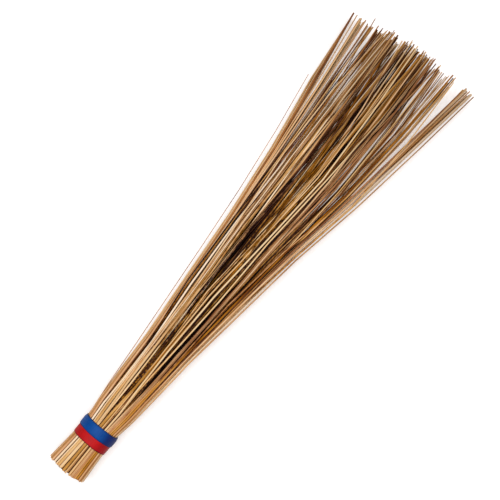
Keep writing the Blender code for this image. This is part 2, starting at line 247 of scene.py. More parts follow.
def placeInWaist(tree, size, ekel):
    # Place in the waist's unit circle
    shares = []
    for line, luck, count in ((ekel.row, ekel.placeLuck[0], size["Rows"]),
                              (ekel.column, ekel.placeLuck[1], size["Columns"])):
        uneven = addNode(tree, "ShaderNodeMath", [luck, size["Place Unevenness"], 0.5], "MULTIPLY_ADD")
        linePlace = addNode(tree, "ShaderNodeMath", [line, uneven], "ADD")
        shares.append(addNode(tree, "ShaderNodeMath", [linePlace, count], "DIVIDE"))
    rowShare, columnShare = shares
    ringPlace = addNode(tree, "ShaderNodeMath", [size["Ring"], rowShare], "ADD")
    ekel.outward = addNode(tree, "ShaderNodeMath", [ringPlace, size["Rings"]], "DIVIDE")

    # Ring 0 has one sheaf, and each ring has two more than the one inside it
    sheafPlace = addNode(tree, "ShaderNodeMath", [size["Ring"], 0.5, size["Sheaf"]], "MULTIPLY_ADD")
    turned = addNode(tree, "ShaderNodeMath", [sheafPlace, columnShare], "ADD")
    sheavesAround = addNode(tree, "ShaderNodeMath", [size["Ring"], 2, 1], "MULTIPLY_ADD")
    turnShare = addNode(tree, "ShaderNodeMath", [turned, sheavesAround], "DIVIDE")
    angle = addNode(tree, "ShaderNodeMath", [turnShare, 2 * math.pi], "MULTIPLY")
    ekel.cosine = addNode(tree, "ShaderNodeMath", [angle], "COSINE")
    ekel.sine = addNode(tree, "ShaderNodeMath", [angle], "SINE")
    ekel.acrossWaist = addNode(tree, "ShaderNodeMath", [ekel.outward, ekel.cosine], "MULTIPLY")
    upWaist = addNode(tree, "ShaderNodeMath", [ekel.outward, ekel.sine], "MULTIPLY")
    ekel.waistPlace = addNode(tree, "ShaderNodeCombineXYZ", [ekel.acrossWaist, upWaist, 0.0])
    ekel.sideways = addNode(tree, "ShaderNodeMath", [ekel.acrossWaist], "ABSOLUTE")
    ekel.leftShare = addNode(tree, "ShaderNodeMath", [ekel.acrossWaist, 0.5, 0.5], "MULTIPLY_ADD")

    # The clump that it falls in, as a cell of the waist's circle
    cells = addNode(tree, "ShaderNodeTexVoronoi", {"Vector": ekel.waistPlace, "Scale": size["Gather Cells"]},
                    voronoi_dimensions="2D")
    ekel.clumpMiddle = addNode(tree, "ShaderNodeSeparateXYZ", [cells.outputs["Position"]]).outputs
    ekel.clumpLuck = addNode(tree, "ShaderNodeSeparateXYZ", [cells.outputs["Color"]]).outputs


def reachAlong(tree, size, ekel):
    # How far the ekel reaches: less by luck, its own and its clump's, and less on the fan's left side
    lengthLuck = addNode(tree, "ShaderNodeMix",
                         {0: size["Length Together"], 2: ekel.growthLuck[0], 3: ekel.clumpLuck[0]})
    rareLuck = addNode(tree, "ShaderNodeMath", [lengthLuck, size["Length Rarity"]], "POWER")
    shortLuck = addNode(tree, "ShaderNodeMath", [rareLuck, size["Length Unevenness"]], "MULTIPLY")
    shorter = addNode(tree, "ShaderNodeMath", [ekel.leftShare, size["Slant"], shortLuck], "MULTIPLY_ADD")
    grownReach = addNode(tree, "ShaderNodeMath", [size["Broom Length"], shorter], "SUBTRACT")
    isBroken = addNode(tree, "ShaderNodeMath", [ekel.toneLuck[2], size["Broken Share"]], "LESS_THAN")
    brokenShare = addNode(tree, "ShaderNodeMapRange",
                          {0: ekel.growthLuck[0], 3: size["Broken Shortest"], 4: size["Broken Longest"]})
    keptShare = addNode(tree, "ShaderNodeMix", {0: isBroken, 2: 1.0, 3: brokenShare})
    keptShare = addNode(tree, "ShaderNodeMix", {0: ekel.isOutlier, 2: keptShare, 3: size["Outlier Length"]})
    reach = addNode(tree, "ShaderNodeMath", [grownReach, keptShare], "MULTIPLY")

    # The station's distance from the butt, and its share of the broom's length
    stationShare = addNode(tree, "ShaderNodeMath", [ekel.station, stationCount - 1], "DIVIDE")
    along = shapeCurve(addNode(tree, "ShaderNodeFloatCurve", {1: stationShare}), "along")
    walked = addNode(tree, "ShaderNodeMath", [along, reach], "MULTIPLY")
    sawnAt = addNode(tree, "ShaderNodeMath",
                     [ekel.growthLuck[1], size["Butt Unevenness"], size["Butt Inset"]], "MULTIPLY_ADD")
    ekel.distance = addNode(tree, "ShaderNodeMath", [walked, sawnAt], "MAXIMUM")
    ekel.share = addNode(tree, "ShaderNodeMath", [ekel.distance, size["Broom Length"]], "DIVIDE")


def shapeBundle(tree, size, ekel):
    # What the bundle does at this share of its length
    ekel.bundle = {name: shapeCurve(addNode(tree, "ShaderNodeFloatCurve", {1: ekel.share}), name)
                   for name in ekelCurves if name not in ("along", "clump")}
    ekel.halfWidth = addNode(tree, "ShaderNodeMath", [size["Fan Half Width"], ekel.bundle["width"]],
                             "MULTIPLY")
    ekel.halfHeight = addNode(tree, "ShaderNodeMath", [size["Fan Half Height"], ekel.bundle["height"]],
                              "MULTIPLY")
    lift = addNode(tree, "ShaderNodeMath", [size["Fan Height"], size["Axis Height"]], "SUBTRACT")
    ekel.middleHeight = addNode(tree, "ShaderNodeMath", [lift, ekel.bundle["rise"], size["Axis Height"]],
                                "MULTIPLY_ADD")


def thickenEkels(tree, size, ekel):
    # Radius of the stick
    thickLuck = addNode(tree, "ShaderNodeMath", [ekel.placeLuck[2], size["Thickness Unevenness"], 1.0],
                        "MULTIPLY_ADD")
    inner = addNode(tree, "ShaderNodeMapRange",
                    {0: ekel.share, 1: 0.0, 2: size["Inner Butt Reach"], 3: size["Inner Butt Thickness"],
                     4: size["Inner Thickness"]})
    layer = addNode(tree, "ShaderNodeMapRange",
                    {0: ekel.outward, 1: size["Outside From"], 2: size["Outside To"], 3: inner,
                     4: size["Outer Thickness"]})
    thinness = addNode(tree, "ShaderNodeMix", {0: ekel.isOutlier, 2: 1.0, 3: size["Outlier Thickness"]})
    ekel.radius = addNode(tree, "ShaderNodeMath", [size["Ekel Thickness"], 0.5], "MULTIPLY")
    for factor in (layer, thickLuck, thinness, ekel.bundle["thickness"]):
        ekel.radius = addNode(tree, "ShaderNodeMath", [ekel.radius, factor], "MULTIPLY")


def gatherEkels(tree, size, ekel):
    # The outer ekels stay under the binding
    radiusShare = addNode(tree, "ShaderNodeMath", [ekel.radius, ekel.halfWidth], "DIVIDE")
    outermost = addNode(tree, "ShaderNodeMath", [1.0, radiusShare], "SUBTRACT")
    held = addNode(tree, "ShaderNodeMath", [ekel.outward, outermost], "MINIMUM")
    looseAcross = addNode(tree, "ShaderNodeMath", [held, ekel.cosine], "MULTIPLY")
    looseUp = addNode(tree, "ShaderNodeMath", [held, ekel.sine], "MULTIPLY")

    # Ekels gather round their clump's middle as soon as they leave the binding
    looseShare = addNode(tree, "ShaderNodeMapRange",
                         {0: ekel.outward, 1: size["Inner Loose To"], 2: size["Outer Loose From"],
                          3: size["Inner Loose Share"], 4: size["Loose Share"]})
    isGathered = addNode(tree, "ShaderNodeMath", [ekel.toneLuck[1], looseShare], "GREATER_THAN")
    sideGather = addNode(tree, "ShaderNodeMapRange",
                         {0: ekel.sideways, 1: size["Side From"], 2: size["Side Gather To"], 3: 1.0,
                          4: size["Side Gathering"]})
    gathered = ekel.bundle["gather"]
    for factor in (size["Gathering"], isGathered, sideGather):
        gathered = addNode(tree, "ShaderNodeMath", [gathered, factor], "MULTIPLY")
    ekel.across = addNode(tree, "ShaderNodeMix", {0: gathered, 2: looseAcross, 3: ekel.clumpMiddle[0]})
    ekel.up = addNode(tree, "ShaderNodeMix", {0: gathered, 2: looseUp, 3: ekel.clumpMiddle[1]})

    # Clumps across the fan, stronger towards the tips
    clump = shapeCurve(addNode(tree, "ShaderNodeFloatCurve", {1: ekel.leftShare}), "clump")
    clumped = addNode(tree, "ShaderNodeMath", [clump, 2.0, -1.0], "MULTIPLY_ADD")
    ekel.pulled = addNode(tree, "ShaderNodeMix", {0: ekel.bundle["open"], 2: ekel.across, 3: clumped})


def leanAtTips(tree, size, ekel):
    # The clumps at the fan's two sides keep together, and the middle is freer
    ekel.freedom = addNode(tree, "ShaderNodeMapRange",
                           {0: ekel.sideways, 1: size["Side From"], 2: size["Side Freedom To"], 3: 1.0,
                            4: size["Side Freedom"]})

    # Other clumps at the tips: the ekel leaves its neighbours of the middle and leans on new ones
    scatter = addNode(tree, "ShaderNodeVectorMath", {0: ekel.thrownBend, 3: size["Tip Scatter"]}, "SCALE")
    tipPlace = addNode(tree, "ShaderNodeVectorMath", [ekel.waistPlace, scatter], "ADD")
    tipPlace = addNode(tree, "ShaderNodeVectorMath", [tipPlace, tipCellShift], "ADD")
    tipCells = addNode(tree, "ShaderNodeTexVoronoi", {"Vector": tipPlace, "Scale": size["Tip Cells"]},
                       voronoi_dimensions="2D")
    towardsClump = addNode(tree, "ShaderNodeVectorMath", [tipCells.outputs["Position"], tipPlace],
                           "SUBTRACT")
    lean = addNode(tree, "ShaderNodeMath", [ekel.bundle["tipGather"], size["Tip Gathering"]], "MULTIPLY")
    lean = addNode(tree, "ShaderNodeMath", [lean, ekel.freedom], "MULTIPLY")
    leaned = addNode(tree, "ShaderNodeVectorMath", {0: towardsClump, 3: lean}, "SCALE")
    leanParts = addNode(tree, "ShaderNodeSeparateXYZ", [leaned]).outputs
    ekel.pulled = addNode(tree, "ShaderNodeMath", [ekel.pulled, leanParts[0]], "ADD")
    ekel.up = addNode(tree, "ShaderNodeMath", [ekel.up, leanParts[1]], "ADD")

    # Slump of the fan's sides towards the floor
    squared = addNode(tree, "ShaderNodeMath", [ekel.across, ekel.across], "MULTIPLY")
    fourth = addNode(tree, "ShaderNodeMath", [squared, squared], "MULTIPLY")
    drop = addNode(tree, "ShaderNodeMath", [squared, size["Slump Square"]], "MULTIPLY")
    drop = addNode(tree, "ShaderNodeMath", [fourth, size["Slump Fourth"], drop], "MULTIPLY_ADD")
    dropped = addNode(tree, "ShaderNodeMath", [drop, ekel.bundle["slump"]], "MULTIPLY")
    ekel.up = addNode(tree, "ShaderNodeMath", [ekel.up, dropped], "SUBTRACT")


def strayEkels(tree, size, ekel):
    # How far luck may move an ekel here, by its strays, its crossing, its belly and its weave
    reach = {}
    for move, most, curve in (("stray", "Stray", "open"), ("cross", "Crossing", "cross"),
                              ("belly", "Belly", "belly"), ("weave", "Weave", "weave")):
        moved = addNode(tree, "ShaderNodeMath", [size[most], ekel.bundle[curve]], "MULTIPLY")
        reach[move] = addNode(tree, "ShaderNodeMath", [moved, ekel.freedom], "MULTIPLY")

    # It bows with its clump, and waves on its own
    clumpSway = addNode(tree, "ShaderNodeMath", [ekel.clumpLuck[2], 2.0, -1.0], "MULTIPLY_ADD")
    sway = addNode(tree, "ShaderNodeMix", {0: size["Swaying Together"], 2: ekel.bendLuck[2], 3: clumpSway})
    bowed = addNode(tree, "ShaderNodeMath", [sway, reach["belly"]], "MULTIPLY")
    waveShare = addNode(tree, "ShaderNodeMath", [ekel.share, size["Weave Waves"], ekel.growthLuck[2]],
                        "MULTIPLY_ADD")
    waveAngle = addNode(tree, "ShaderNodeMath", [waveShare, 2 * math.pi], "MULTIPLY")
    wave = addNode(tree, "ShaderNodeMath", [waveAngle], "SINE")
    weaveReach = addNode(tree, "ShaderNodeMath", [reach["weave"], ekel.bendLuck[2]], "MULTIPLY")
    bowed = addNode(tree, "ShaderNodeMath", [wave, weaveReach, bowed], "MULTIPLY_ADD")

    # Each ekel crosses its neighbours a little, and a few stray far
    strayed = []
    for axis in (0, 1):
        rareLuck = addNode(tree, "ShaderNodeMath", [ekel.bendLuck[axis], size["Stray Rarity"]], "POWER")
        crossed = addNode(tree, "ShaderNodeMath", [ekel.bendLuck[axis], reach["cross"], bowed],
                          "MULTIPLY_ADD")
        strayed.append(addNode(tree, "ShaderNodeMath", [rareLuck, reach["stray"], crossed], "MULTIPLY_ADD"))
    strayAcross, ekel.strayUp = strayed
    apart = addNode(tree, "ShaderNodeMath", [ekel.isOutlier, size["Outlier Distance"]], "MULTIPLY")
    ekel.strayAcross = addNode(tree, "ShaderNodeMath", [ekel.bundle["outlier"], apart, strayAcross],
                               "MULTIPLY_ADD")


def placeStations(tree, size, ekel):
    # From the unit circle to metres, kept within the broom's own width and height
    y = addNode(tree, "ShaderNodeMath", [ekel.halfWidth, ekel.pulled, ekel.strayAcross], "MULTIPLY_ADD")
    # From 0 on the fan's left side to -1 on its right
    rightShare = addNode(tree, "ShaderNodeMath", [ekel.acrossWaist, 0.5, -0.5], "MULTIPLY_ADD")
    bulge = addNode(tree, "ShaderNodeMath", [size["Right Bulge"], ekel.bundle["bulge"]], "MULTIPLY")
    y = addNode(tree, "ShaderNodeMath", [rightShare, bulge, y], "MULTIPLY_ADD")
    y = addNode(tree, "ShaderNodeMath", [y, axisY], "ADD")
    widest = addNode(tree, "ShaderNodeMath", [size["Half Width Limit"], ekel.radius], "SUBTRACT")
    widestBack = addNode(tree, "ShaderNodeMath", [widest, -1.0], "MULTIPLY")
    y = addNode(tree, "ShaderNodeMath", [y, widest, size["Soft Limit"]], "SMOOTH_MIN")
    y = addNode(tree, "ShaderNodeMath", [y, widestBack, size["Soft Limit"]], "SMOOTH_MAX")
    z = addNode(tree, "ShaderNodeMath", [ekel.halfHeight, ekel.up, ekel.middleHeight], "MULTIPLY_ADD")
    z = addNode(tree, "ShaderNodeMath", [z, ekel.strayUp], "ADD")
    highest = addNode(tree, "ShaderNodeMath", [size["Height Limit"], ekel.radius], "SUBTRACT")
    z = addNode(tree, "ShaderNodeMath", [z, highest, size["Soft Limit"]], "SMOOTH_MIN")
    z = addNode(tree, "ShaderNodeMath", [z, ekel.radius], "MAXIMUM")
    x = addNode(tree, "ShaderNodeMath", [ekel.distance, buttX], "ADD")
    ekel.place = addNode(tree, "ShaderNodeCombineXYZ", [x, y, z])


def pointsOfEkels(tree, size, ekel):
    # The points, and what the material needs to know of each
    perSheaf = addNode(tree, "FunctionNodeIntegerMath", [size["Rows"], size["Columns"]], "MULTIPLY")
    pointCount = addNode(tree, "FunctionNodeIntegerMath", [perSheaf, stationCount], "MULTIPLY")
    points = addNode(tree, "GeometryNodePoints", [pointCount, ekel.place])
    # Painted shade: the ekels inside the bundle get a darker tone, deepest at the waist, so that the gaps
    # between them look dark
    paintedShadeRadius = addNode(tree, "ShaderNodeMapRange",
                     {0: ekel.share, 1: size["Painted Shade Start"], 2: size["Painted Shade End"], 3: size["Painted Shade At Waist"],
                      4: size["Painted Shade In Fan"]})
    paintedShadeFactor = addNode(tree, "ShaderNodeMapRange",
                       {0: ekel.outward, 1: paintedShadeRadius, 2: size["Outside To"], 3: size["Painted Shade Level"], 4: 1.0})
    paleness = addNode(tree, "ShaderNodeMix",
                       {0: size["Tone Together"], 2: ekel.toneLuck[0], 3: ekel.clumpLuck[1]})
    tone = addNode(tree, "ShaderNodeCombineXYZ", [paleness, ekel.toneLuck[1], paintedShadeFactor])
    points = addNode(tree, "GeometryNodeStoreNamedAttribute", {0: points, 2: "ekelLuckAndPaintedShade", 3: tone},
                     data_type="FLOAT_VECTOR")
    return addNode(tree, "GeometryNodeStoreNamedAttribute", {0: points, 2: "alongEkel", 3: ekel.distance})


def sticksOfPoints(tree, size, ekel, points):
    # A curve through each ekel's points, turned by luck, and its outline swept along it
    curves = addNode(tree, "GeometryNodePointsToCurves", [points, ekel.ofSheaf, ekel.station])
    tilt = addNode(tree, "ShaderNodeMath", [ekel.growthLuck[2], 2 * math.pi], "MULTIPLY")
    curves = addNode(tree, "GeometryNodeSetCurveTilt", {0: curves, 2: tilt})
    circle = addNode(tree, "GeometryNodeCurvePrimitiveCircle", {"Resolution": size["Sides"], "Radius": 1.0})
    flat = addNode(tree, "ShaderNodeCombineXYZ", [1.0, size["Flatness"], 1.0])
    outline = addNode(tree, "GeometryNodeTransform", {"Geometry": circle.outputs["Curve"], "Scale": flat})
    position = addNode(tree, "GeometryNodeInputPosition")
    outline = addNode(tree, "GeometryNodeStoreNamedAttribute", {0: outline, 2: "roundEkel", 3: position},
                      data_type="FLOAT_VECTOR")
    sticks = addNode(tree, "GeometryNodeCurveToMesh", {0: curves, 1: outline, 2: ekel.radius, 3: True})

    # Round sides, flat ends: an end has as many corners as the stick has sides
    corners = addNode(tree, "GeometryNodeInputMeshFaceNeighbors").outputs["Vertex Count"]
    isSide = addNode(tree, "FunctionNodeCompare", {2: corners, 3: size["Sides"]}, "LESS_THAN",
                     data_type="INT")
    return addNode(tree, "GeometryNodeSetShadeSmooth", {0: sticks, 2: isSide}, domain="FACE")


def growingTree():
    # One sheaf of ekels: rows and columns of places at the waist, and a tapering stick through each
    tree = bpy.data.node_groups.new("growSheaf", "GeometryNodeTree")
    tree.interface.new_socket(name="Mesh", in_out="OUTPUT", socket_type="NodeSocketGeometry")
    for name, value in ekelSizes.items():
        kind = "NodeSocketInt" if isinstance(value, int) else "NodeSocketFloat"
        tree.interface.new_socket(name=name, in_out="INPUT", socket_type=kind)
    for name in ("Ring", "Sheaf", "First Ekel"):
        tree.interface.new_socket(name=name, in_out="INPUT", socket_type="NodeSocketInt")
    tree.interface.new_socket(name="Material", in_out="INPUT", socket_type="NodeSocketMaterial")
    size = tree.nodes.new("NodeGroupInput").outputs

    ekel = SimpleNamespace()
    for work in (numberEkels, drawLuck, placeInWaist, reachAlong, shapeBundle, thickenEkels, gatherEkels,
                 leanAtTips, strayEkels, placeStations):
        work(tree, size, ekel)
    sticks = sticksOfPoints(tree, size, ekel, pointsOfEkels(tree, size, ekel))
    real = addNode(tree, "GeometryNodeRealizeInstances", {0: sticks})
    dressed = addNode(tree, "GeometryNodeSetMaterial", {0: real, 2: size["Material"]})
    addNode(tree, "NodeGroupOutput", [dressed])
    return tree


def growSheaf(tree, name, values):
    # Runs the tree on an empty mesh and keeps the plain mesh that comes out
    sheaf = newPiece(name, bpy.data.meshes.new(name))
    modifier = sheaf.modifiers.new("grow", "NODES")
    modifier.node_group = tree
    for item in tree.interface.items_tree:
        if item.in_out == "INPUT" and item.name in values:
            modifier[item.identifier] = values[item.name]
    grown = sheaf.evaluated_get(bpy.context.evaluated_depsgraph_get())
    mesh = bpy.data.meshes.new_from_object(grown)
    sheaf.modifiers.clear()
    sheaf.data = mesh
    mesh.name = name
    return sheaf


ekelLooks = {
    # Palm-leaf rib, scraped with a knife and dried in the sun: straw to brown, with a dull waxy skin
    # The first, near-black stop is the colour that the painted shade on the inner ekels reaches
    "ekel_straw": ["#2E0C00", "#B07630", "#E2B478", "#F4D2A2", "#FFE6C4"],
    "ekel_tan": ["#240800", "#985E1C", "#D49E5A", "#ECC08A", "#F6D6A8"],
    "ekel_brown": ["#180400", "#70390A", "#B87A34", "#DAA260", "#EEC48E"],
}
ekelSkin = {
    "fibreLength": 0.060,  # how long a streak of one colour runs
    "fibreWidth": 0.0009,  # real fibres are finer and would not show
    "fibreTone": 0.26,  # how far the tone goes up and down from streak to streak
    "stainLength": 0.060,
    "stainTone": 0.80,
    "ownStart": 97.0,  # far enough apart that no two ekels have the same streaks
    "baseFrom": 0.06,  # the thick ends are all pale, up to here, and have their own tone from baseTo on
    "baseTo": 0.42,
    "baseTone": 0.45,
    "baseShare": 0.65,  # how much alike the thick ends are
    "toneSpread": 1.6,  # what stretches and shifts each ekel's luck over the colours above
    "toneLift": -0.082,
    "paintedShadeFadeFrom": 0.40,  # from here to the tips the painted shade on the inner ekels fades
    "paintedShadeFadeAtTips": 0.4,  # how much of the painted shade is gone there
    "tipTint": "#AA9677",  # the weathered tips are this much darker
    "tipStart": 0.60,  # where along the broom the ekels begin to darken
    "tipShare": 0.7,  # the most that any ekel takes of that tint
    "tipUnevenness": 0.6,
    "grainColor": "#E9C48E",
    "endFacing": 0.85,  # a face turned this much along the broom is a sawn end
    "hueMiddle": 0.4975,  # 0.5 leaves the colour as it is, and less is pinker
    "hueSpread": 0.0035,
    "dullMiddle": 0.97,  # 1 leaves the colour as it is, and less is duller
    "dullSpread": 0.08,
    "goldTurns": 41.0,  # so many that neighbours differ
    "roughness": 0.46,  # the least, and the fibres add up to roughSpread
    "roughSpread": 0.25,
    "fibreDepth": 0.00006,
    "fibreBump": 0.35,
    "specular": 0.10,
}


def makeStreaks(tree, luck, luckParts, along):
    # Streaks run along the ekel: the noise is stretched by fibre length over fibre width
    around = addNode(tree, "ShaderNodeAttribute", attribute_name="roundEkel").outputs["Vector"]
    aroundParts = addNode(tree, "ShaderNodeSeparateXYZ", [around]).outputs
    fibresAcross = ekelSizes["Ekel Thickness"] / 2 / ekelSkin["fibreWidth"]
    walk = addNode(tree, "ShaderNodeMath", [along, 1 / ekelSkin["fibreLength"]], "MULTIPLY")
    sides = [addNode(tree, "ShaderNodeMath", [aroundParts[i], fibresAcross], "MULTIPLY") for i in (0, 1)]
    ownStart = addNode(tree, "ShaderNodeVectorMath", {0: luck, 3: ekelSkin["ownStart"]}, "SCALE")
    fibrePlace = addNode(tree, "ShaderNodeCombineXYZ", [walk, *sides])
    fibrePlace = addNode(tree, "ShaderNodeVectorMath", [fibrePlace, ownStart], "ADD")
    fibre = addNode(tree, "ShaderNodeTexNoise", {"Vector": fibrePlace, "Scale": 1.0, "Detail": 2.0})
    stainWalk = addNode(tree, "ShaderNodeMath", [along, 1 / ekelSkin["stainLength"]], "MULTIPLY")
    stainPlace = addNode(tree, "ShaderNodeCombineXYZ", [stainWalk, luckParts[0], luckParts[1]])
    stainPlace = addNode(tree, "ShaderNodeVectorMath", [stainPlace, ownStart], "ADD")
    stain = addNode(tree, "ShaderNodeTexNoise", {"Vector": stainPlace, "Scale": 1.0, "Detail": 2.0})
    return fibre, stain


def makeTone(tree, luckParts, along, streaks):
    # Each ekel has its own tone, and painted shade darkens the ekels inside the bundle
    baseShare = addNode(tree, "ShaderNodeMapRange",
                        {0: along, 1: ekelSkin["baseFrom"], 2: ekelSkin["baseTo"],
                         3: ekelSkin["baseShare"], 4: 0.0}, interpolation_type="SMOOTHSTEP")
    tone = addNode(tree, "ShaderNodeMix", {0: baseShare, 2: luckParts[0], 3: ekelSkin["baseTone"]})
    tone = addNode(tree, "ShaderNodeMath", [tone, ekelSkin["toneSpread"], ekelSkin["toneLift"]],
                   "MULTIPLY_ADD")
    # Painted shade on the inner ekels, fading towards the tips
    paintedShadeFade = addNode(tree, "ShaderNodeMapRange",
                     {0: along, 1: ekelSkin["paintedShadeFadeFrom"], 2: ekelSizes["Broom Length"], 3: 0.0,
                      4: ekelSkin["paintedShadeFadeAtTips"]})
    innerPaintedShade = addNode(tree, "ShaderNodeMix", {0: paintedShadeFade, 2: luckParts[2], 3: 1.0})
    tone = addNode(tree, "ShaderNodeMath", [tone, innerPaintedShade], "MULTIPLY")

    # The streaks and stains move it up and down
    for streak, depth in zip(streaks, (ekelSkin["fibreTone"], ekelSkin["stainTone"])):
        moved = addNode(tree, "ShaderNodeMath", [streak, depth, -depth / 2], "MULTIPLY_ADD")
        tone = addNode(tree, "ShaderNodeMath", [tone, moved], "ADD")
    return tone


def makeEkelMaterial(name, colors):
    material, tree, skin = newMaterial(name)
    luck = addNode(tree, "ShaderNodeAttribute", attribute_name="ekelLuckAndPaintedShade").outputs["Vector"]
    luckParts = addNode(tree, "ShaderNodeSeparateXYZ", [luck]).outputs
    along = addNode(tree, "ShaderNodeAttribute", attribute_name="alongEkel").outputs["Fac"]
    fibre, stain = makeStreaks(tree, luck, luckParts, along)
    ramp = addNode(tree, "ShaderNodeValToRGB", [makeTone(tree, luckParts, along, (fibre, stain))])
    stops = ramp.color_ramp.elements
    while len(stops) < len(colors):
        stops.new(0.5)
    for place, (stop, color) in enumerate(zip(stops, colors)):
        stop.position = place / (len(colors) - 1)
        stop.color = linearColor(color)

    # From one ekel to the next the colour is pinker and duller, or more golden
    goldTurn = addNode(tree, "ShaderNodeMath", [luckParts[1], ekelSkin["goldTurns"]], "MULTIPLY")
    goldLuck = addNode(tree, "ShaderNodeMath", [goldTurn], "SINE")
    hue = addNode(tree, "ShaderNodeMath", [goldLuck, ekelSkin["hueSpread"], ekelSkin["hueMiddle"]],
                  "MULTIPLY_ADD")
    saturation = addNode(tree, "ShaderNodeMath", [goldLuck, ekelSkin["dullSpread"], ekelSkin["dullMiddle"]],
                         "MULTIPLY_ADD")
    tinted = addNode(tree, "ShaderNodeHueSaturation", {"Hue": hue, "Saturation": saturation, "Color": ramp})

    # Darker and greener towards the weathered tips
    tipShare = addNode(tree, "ShaderNodeMapRange",
                       {0: along, 1: ekelSkin["tipStart"] * ekelSizes["Broom Length"],
                        2: ekelSizes["Broom Length"], 3: 0.0, 4: ekelSkin["tipShare"]},
                       interpolation_type="SMOOTHSTEP")
    uneven = ekelSkin["tipUnevenness"]
    tipLuck = addNode(tree, "ShaderNodeMath", [luckParts[1], uneven, 1 - uneven], "MULTIPLY_ADD")
    tipFade = addNode(tree, "ShaderNodeMath", [tipShare, tipLuck], "MULTIPLY")
    weathered = addNode(tree, "ShaderNodeMix", {0: tipFade, 6: tinted, 7: linearColor(ekelSkin["tipTint"])},
                        data_type="RGBA", blend_type="MULTIPLY")

    # Pale end grain where an ekel is cut across
    normal = addNode(tree, "ShaderNodeNewGeometry").outputs["Normal"]
    facing = addNode(tree, "ShaderNodeSeparateXYZ", [normal])
    endwise = addNode(tree, "ShaderNodeMath", [facing], "ABSOLUTE")
    isEnd = addNode(tree, "ShaderNodeMath", [endwise, ekelSkin["endFacing"]], "GREATER_THAN")
    grained = addNode(tree, "ShaderNodeMix",
                      {0: isEnd, 6: weathered, 7: linearColor(ekelSkin["grainColor"])}, data_type="RGBA")

    rough = addNode(tree, "ShaderNodeMath", [fibre, ekelSkin["roughSpread"], ekelSkin["roughness"]],
                    "MULTIPLY_ADD")
    bump = addNode(tree, "ShaderNodeBump", {"Strength": ekelSkin["fibreBump"],
                                            "Distance": ekelSkin["fibreDepth"], "Height": fibre})
    feedNode(tree, skin, {"Base Color": grained, "Roughness": rough, "Normal": bump,
                          "Specular IOR Level": ekelSkin["specular"]})
    return material


ekelMaterials = {slot: makeEkelMaterial(slot.replace("ekel_", "palmRib_"), colors)
                 for slot, colors in ekelLooks.items()}
sheafTree = growingTree()
ringNames = ("core", "inner", "middle", "outer", "skin")
sheafCount = 0
for ring, ringName in enumerate(ringNames):
    for sheaf in range(2 * ring + 1):
        node = f"ekel_sheaf_{ringName}_{sheaf + 1}"
        slot = list(ekelLooks)[sheafCount % len(ekelLooks)]
        values = dict(ekelSizes)
        values.update({"Ring": ring, "Sheaf": sheaf, "Material": ekelMaterials[slot],
                       "First Ekel": sheafCount * ekelSizes["Rows"] * ekelSizes["Columns"]})
        grown = growSheaf(sheafTree, f"ekels_{ringName}_{sheaf + 1}", values)
        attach(grown, "root")
        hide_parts(node)
        sheafCount += 1
print(f"Ekels: {sheafCount} sheaves")


tapeSizes = {
    "sides": 324,
    "rows": 14,
    "wall": 0.0006,
    "ekelsAround": 54,
    "scallop": 0.00035,  # how far the tape dips between the ekels under it
    "scallopInside": 0.45,  # and which share of that it dips away from its edges
    "dipPower": 0.8,  # below 1 the dips are narrower than the crests
    "dipDrift": ((3, 0.5), (7, 0.35)),  # the ekels lie unevenly: waves in a turn, and how strong they are
    "edgeWave": 0.00030,  # how far an edge draws in from the tape's full width
    "edgeWaves": ((2, 1.0), (5, 0.6)),
    "edgeEkels": 0.5,  # the edge follows the ekels too
    "edgeWaveShare": 0.5,  # so much of the drawing in comes and goes with the waves
    "edgeShare": 0.10,  # of the width, where the edge rounds off
    "edgeRound": 0.00016,  # how far it rounds off, and what the last layer adds in a turn
    "sharpAngle": 50,
    "redFreeEnd": -115,  # where round the broom the tape's last layer ends, in degrees
    "redSeed": 3,  # for its waves
    "blueFreeEnd": -75,
    "blueSeed": 5,
    "blueRear": 0.25,  # of its width, the blue tape's rear comes down on the red tape
    "blueRearDrop": 0.0005,
    "blueFront": 0.35,  # and its front comes down on the ekels
    "blueFrontDrop": 0.0011,
}


def smoothStep(value):
    value = min(max(value, 0.0), 1.0)
    return value * value * (3 - 2 * value)


def waver(angle, waves, phases):
    # Waves round the broom added up, each with its number in a turn, its height and its phase
    return sum(height * math.sin(count * angle + phase) for (count, height), phase in zip(waves, phases))


